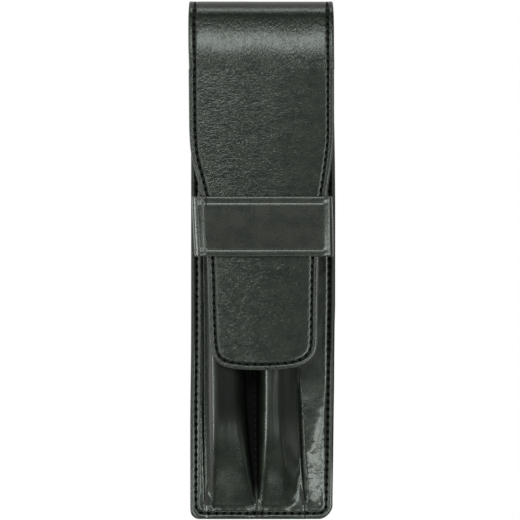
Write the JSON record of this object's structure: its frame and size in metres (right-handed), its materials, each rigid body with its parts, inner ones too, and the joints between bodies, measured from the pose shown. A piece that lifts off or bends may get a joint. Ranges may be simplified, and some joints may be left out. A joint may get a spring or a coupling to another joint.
{
  "type": "pen case",
  "caption": "Slim soft leather pen case with a pleated pocket, a fold-over flap and a tongue that tucks under a fixed band.",
  "frame": {"origin": "centre of the back's resting face, half way along the case", "axes": "+Z out of the front of the case, towards the flap; +Y from the bottom seam to the top fold; +X to the right of someone facing the front"},
  "size_m": [0.0454, 0.1651, 0.0195],
  "materials": {
    "leather": "fine grain, semi-gloss, black",
    "pocket_leather": "fine grain, semi-gloss, black",
    "band_leather": "smooth, semi-gloss, black",
    "lining": "suede, matt, black",
    "board": "thin stiffener sheet, matt",
    "thread": "waxed, black"
  },
  "bodies": {
    "case": {"back_leather": "leather", "back_board": "board", "back_lining": "lining", "pocket_leather": "pocket_leather", "channel_lining": "lining", "band_leather": "band_leather", "band_lining": "lining", "back_seam_thread": "thread", "pocket_seam_thread": "thread", "band_thread": "thread", "back_inner_thread": "thread", "centre_seam_thread": "thread"},
    "fold_lower": {"fold_lower_leather": "leather", "fold_lower_lining": "lining", "fold_lower_thread": "thread"},
    "fold_middle": {"fold_middle_leather": "leather", "fold_middle_lining": "lining", "fold_middle_thread": "thread"},
    "fold_upper": {"fold_upper_leather": "leather", "fold_upper_lining": "lining", "fold_upper_thread": "thread"},
    "flap": {"flap_leather": "leather", "flap_lining": "lining", "flap_board": "board", "flap_thread": "thread", "flap_inner_thread": "thread"}
  },
  "joints": [
    {"name": "fold_hinge", "type": "hinge", "parent": "case", "child": "fold_lower", "pos_m": [0, 0.07849, 0.00094], "axis": [-1, 0, 0], "range_deg": [0, 52]},
    {"name": "fold_hinge_2", "type": "hinge", "parent": "fold_lower", "child": "fold_middle", "pos_m": [0, 0.08228, 0.0058], "axis": [-1, 0, 0], "range_deg": [0, 46]},
    {"name": "fold_hinge_3", "type": "hinge", "parent": "fold_middle", "child": "fold_upper", "pos_m": [0, 0.08142, 0.0119], "axis": [-1, 0, 0], "range_deg": [0, 54.31]},
    {"name": "flap_hinge", "type": "hinge", "parent": "fold_upper", "child": "flap", "pos_m": [0, 0.07254, 0.01657], "axis": [-1, 0, 0], "range_deg": [0, 27.69], "deforming": ["band_leather", "band_lining", "band_thread"]}
  ],
  "couplings": [
    {"joint": "fold_hinge_2", "follows": "fold_hinge", "ratio": 0.88454},
    {"joint": "fold_hinge_3", "follows": "fold_hinge", "ratio": 1.0443},
    {"joint": "flap_hinge", "follows": "fold_hinge", "ratio": 0.53255}
  ]
}
